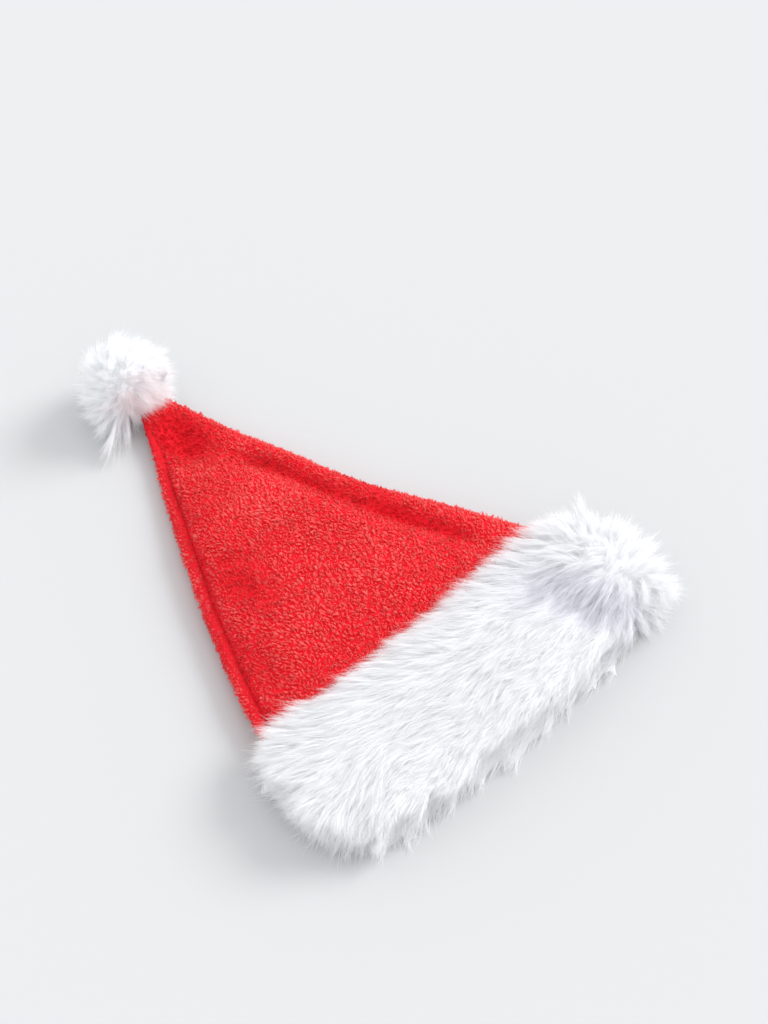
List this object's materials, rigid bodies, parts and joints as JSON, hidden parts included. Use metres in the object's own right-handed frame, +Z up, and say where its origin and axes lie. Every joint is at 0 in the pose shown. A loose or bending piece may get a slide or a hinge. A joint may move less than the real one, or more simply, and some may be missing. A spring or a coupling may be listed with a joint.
{
  "type": "santa hat",
  "caption": "Plush santa hat lying flat: a red cone crown of two sewn panels, a deep white fur cuff round its open mouth and a white fur pompom on its tip.",
  "frame": {"origin": "bottom centre of the bounding box of the hat as it lies on a table", "axes": "+Z up from the table, +Y along the crown from the mouth to the pompom, +X across the hat"},
  "size_m": [0.4004, 0.5508, 0.083],
  "materials": {
    "red_plush": "short brushed plush pile, matt, with darker gaps between its tufts",
    "white_fur": "long soft faux fur in fine glossy locks"
  },
  "bodies": {
    "root": {"crown_front_panel": "red_plush", "crown_back_panel": "red_plush", "fur_cuff": "white_fur", "pompom": "white_fur"}
  },
  "joints": []
}
